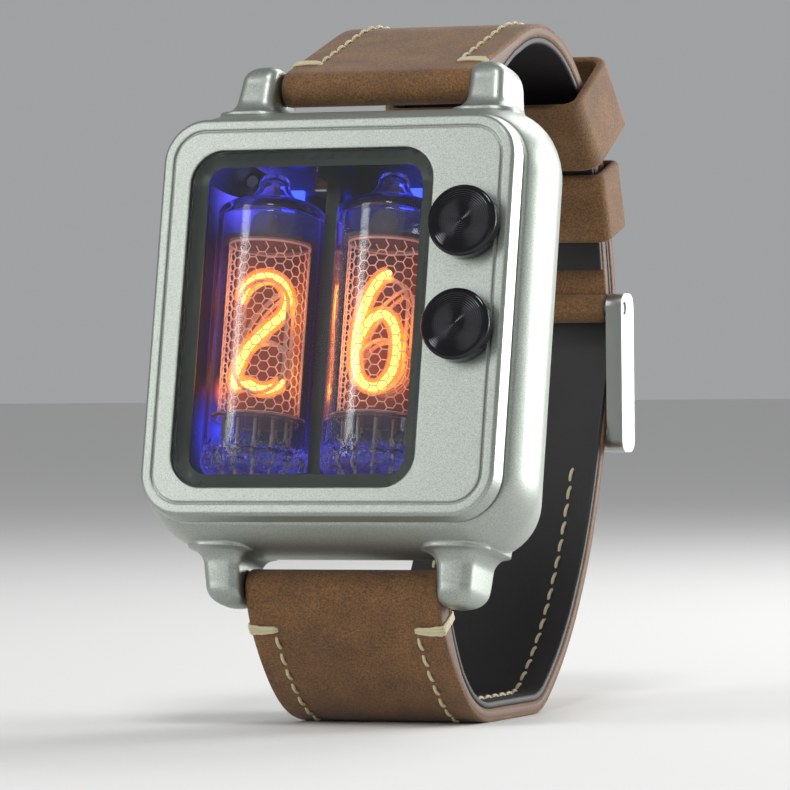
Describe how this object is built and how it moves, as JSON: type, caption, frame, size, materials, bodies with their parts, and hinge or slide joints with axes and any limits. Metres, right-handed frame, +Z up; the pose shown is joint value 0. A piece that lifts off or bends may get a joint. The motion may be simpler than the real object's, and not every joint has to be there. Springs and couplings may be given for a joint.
{
  "type": "nixie tube wristwatch",
  "caption": "Wristwatch with a square metal case, two lit glow-discharge numeral tubes behind a window, two round push buttons, and a buckled brown leather strap, standing on its strap.",
  "frame": {"origin": "middle of the flat of the strap that the watch stands on, on the ground", "axes": "+Z up, +Y away from the reader, +X to the reader's right; the face looks towards -Y and leans back 12 degrees"},
  "size_m": [0.0472, 0.0716, 0.0818],
  "materials": {
    "case_metal": "bead blasted",
    "back_metal": "bead blasted",
    "steel": "machined",
    "buckle_steel": "satin",
    "black_rubber": "matte",
    "clear_glass": "clear",
    "tube_glass": "clear",
    "printed_border": "matte",
    "black_metal": "black anodised, turned",
    "black_plastic": "matte",
    "white_plastic": "matte",
    "circuit_board": "solder mask",
    "chips": "matte",
    "blue_light": "lit",
    "cell_foil": "foil",
    "foam": "foam",
    "mesh_metal": "bare",
    "orange_glow": "lit",
    "brown_leather": "nubuck",
    "black_lining": "smooth",
    "cream_thread": "waxed thread"
  },
  "bodies": {
    "watch": {"case_body": "case_metal", "bezel": "case_metal", "bezel_gasket": "black_rubber", "bezel_screws": "steel", "window_glass": "clear_glass", "window_mask": "printed_border", "window_adhesive": "black_rubber", "case_back": "back_metal", "back_gasket": "black_rubber", "back_screws": "steel", "button_spring_upper": "steel", "button_spring_lower": "steel", "button_seals": "black_rubber", "switch_bodies": "black_plastic", "button_board": "circuit_board", "inner_frame": "black_plastic", "main_board": "circuit_board", "board_screws": "steel", "board_chips": "chips", "hv_converter": "chips", "blue_leds": "blue_light", "battery": "cell_foil", "battery_pad": "foam", "tube_glass_left": "tube_glass", "tube_glass_right": "tube_glass", "anode_mesh_left": "mesh_metal", "anode_mesh_right": "mesh_metal", "lit_digit_left": "orange_glow", "lit_digit_right": "orange_glow", "cathode_stack_left": "mesh_metal", "cathode_stack_right": "mesh_metal", "tube_spacers_left": "white_plastic", "tube_spacers_right": "white_plastic", "tube_leads_left": "mesh_metal", "tube_leads_right": "mesh_metal", "spring_bar_upper": "steel", "spring_bar_lower": "steel", "strap_upper": "brown_leather", "lining_upper": "black_lining", "strap_lower": "brown_leather", "lining_lower": "black_lining", "stitches_upper": "cream_thread", "stitches_lower": "cream_thread", "keeper_fixed": "brown_leather", "buckle_frame": "buckle_steel", "buckle_bar": "buckle_steel"},
    "button_upper_body": {"button_upper": "black_metal", "button_clip_upper": "steel", "switch_plunger_upper": "white_plastic"},
    "button_lower_body": {"button_lower": "black_metal", "button_clip_lower": "steel", "switch_plunger_lower": "white_plastic"},
    "tip_upper_left": {"bar_tip_upper_left": "steel"},
    "tip_upper_right": {"bar_tip_upper_right": "steel"},
    "tip_lower_left": {"bar_tip_lower_left": "steel"},
    "tip_lower_right": {"bar_tip_lower_right": "steel"},
    "keeper_free_body": {"keeper_free": "brown_leather"},
    "buckle_tongue_body": {"buckle_tongue": "buckle_steel"}
  },
  "joints": [
    {"name": "press_upper", "type": "slide", "parent": "watch", "child": "button_upper_body", "axis": [0, 0.9781, -0.2079], "range_m": [0, 0.0005], "stiffness_N_per_m": 600, "springref_m": -0.0012, "deforming": ["button_spring_upper"]},
    {"name": "press_lower", "type": "slide", "parent": "watch", "child": "button_lower_body", "axis": [0, 0.9781, -0.2079], "range_m": [0, 0.0005], "stiffness_N_per_m": 600, "springref_m": -0.0012, "deforming": ["button_spring_lower"]},
    {"name": "tip_upper_left_slide", "type": "slide", "parent": "watch", "child": "tip_upper_left", "axis": [1, 0, 0], "range_m": [0, 0.001], "stiffness_N_per_m": 150, "springref_m": -0.002},
    {"name": "tip_upper_right_slide", "type": "slide", "parent": "watch", "child": "tip_upper_right", "axis": [-1, 0, 0], "range_m": [0, 0.001], "stiffness_N_per_m": 150, "springref_m": -0.002},
    {"name": "tip_lower_left_slide", "type": "slide", "parent": "watch", "child": "tip_lower_left", "axis": [1, 0, 0], "range_m": [0, 0.001], "stiffness_N_per_m": 150, "springref_m": -0.002},
    {"name": "tip_lower_right_slide", "type": "slide", "parent": "watch", "child": "tip_lower_right", "axis": [-1, 0, 0], "range_m": [0, 0.001], "stiffness_N_per_m": 150, "springref_m": -0.002},
    {"name": "keeper_slide", "type": "slide", "parent": "watch", "child": "keeper_free_body", "axis": [0, 0.4942, -0.8694], "range_m": [-0.0014, 0.0006]},
    {"name": "tongue_hinge", "type": "hinge", "parent": "watch", "child": "buckle_tongue_body", "pos_m": [0, 0.03393, 0.04768], "axis": [1, 0, 0], "range_deg": [0, 20]}
  ]
}
